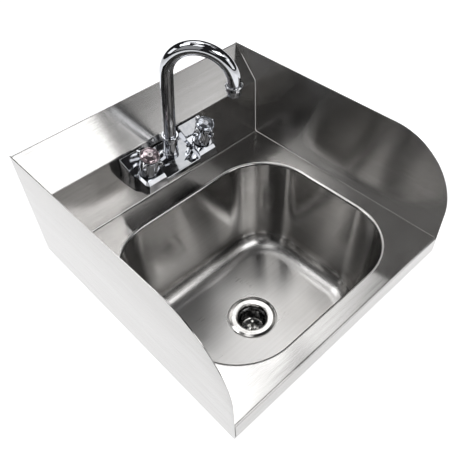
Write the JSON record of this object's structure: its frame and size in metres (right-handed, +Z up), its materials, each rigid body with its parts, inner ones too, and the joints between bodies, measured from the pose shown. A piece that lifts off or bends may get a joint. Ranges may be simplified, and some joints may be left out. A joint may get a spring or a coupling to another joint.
{
  "type": "hand wash sink",
  "caption": "Wall-hung stainless hand sink with rounded side splashes, a sloped splash back, a two-handle gooseneck faucet and a strainer drain.",
  "frame": {"origin": "centre of the wall face of the hanger strip behind the splash back", "axes": "+X to the user's right, +Y into the wall, +Z up; the user stands on the -Y side"},
  "size_m": [0.39, 0.4, 0.5605],
  "materials": {
    "brushed_steel": "satin brushed",
    "polished_steel": "polished",
    "chrome": "mirror",
    "brass": "machined",
    "rubber": "matte",
    "fibre": "matte",
    "hot_index": "gloss",
    "cold_index": "gloss"
  },
  "bodies": {
    "sink": {"top_sheet": "brushed_steel", "bowl": "brushed_steel", "side_splash_left": "brushed_steel", "side_splash_right": "brushed_steel", "wall_hanger": "brushed_steel", "drain_body": "polished_steel", "drain_locknut": "polished_steel", "faucet_body": "chrome", "hot_bonnet": "chrome", "cold_bonnet": "chrome", "spout_collar": "chrome", "tailpiece": "chrome", "slip_nut": "chrome", "hot_shank": "brass", "cold_shank": "brass", "hot_shank_nut": "brass", "cold_shank_nut": "brass", "drain_gasket": "rubber", "tailpiece_washer": "rubber", "faucet_gasket": "rubber", "hot_shank_washer": "rubber", "cold_shank_washer": "rubber", "friction_washer": "fibre"},
    "spout": {"spout_tube": "chrome", "aerator_housing": "chrome", "aerator_screen": "polished_steel"},
    "hot_valve": {"hot_handle": "chrome", "hot_stem": "brass", "hot_handle_screw": "brass", "hot_index_button": "hot_index"},
    "cold_valve": {"cold_handle": "chrome", "cold_stem": "brass", "cold_handle_screw": "brass", "cold_index_button": "cold_index"},
    "strainer": {"strainer_plate": "polished_steel", "strainer_post": "polished_steel"}
  },
  "joints": [
    {"name": "spout_swivel", "type": "hinge", "parent": "sink", "child": "spout", "pos_m": [0, -0.0692, 0.0079], "axis": [0, -0.1167, 0.9932], "range_deg": [-124, 56]},
    {"name": "hot_handle_turn", "type": "hinge", "parent": "sink", "child": "hot_valve", "pos_m": [-0.049, -0.0768, -0.0146], "axis": [0, -0.342, 0.9397], "range_deg": [0, 90]},
    {"name": "cold_handle_turn", "type": "hinge", "parent": "sink", "child": "cold_valve", "pos_m": [0.049, -0.0768, -0.0146], "axis": [0, -0.342, 0.9397], "range_deg": [-90, 0]},
    {"name": "strainer_lift", "type": "slide", "parent": "sink", "child": "strainer", "axis": [0, 0, 1], "range_m": [0, 0.05]}
  ]
}
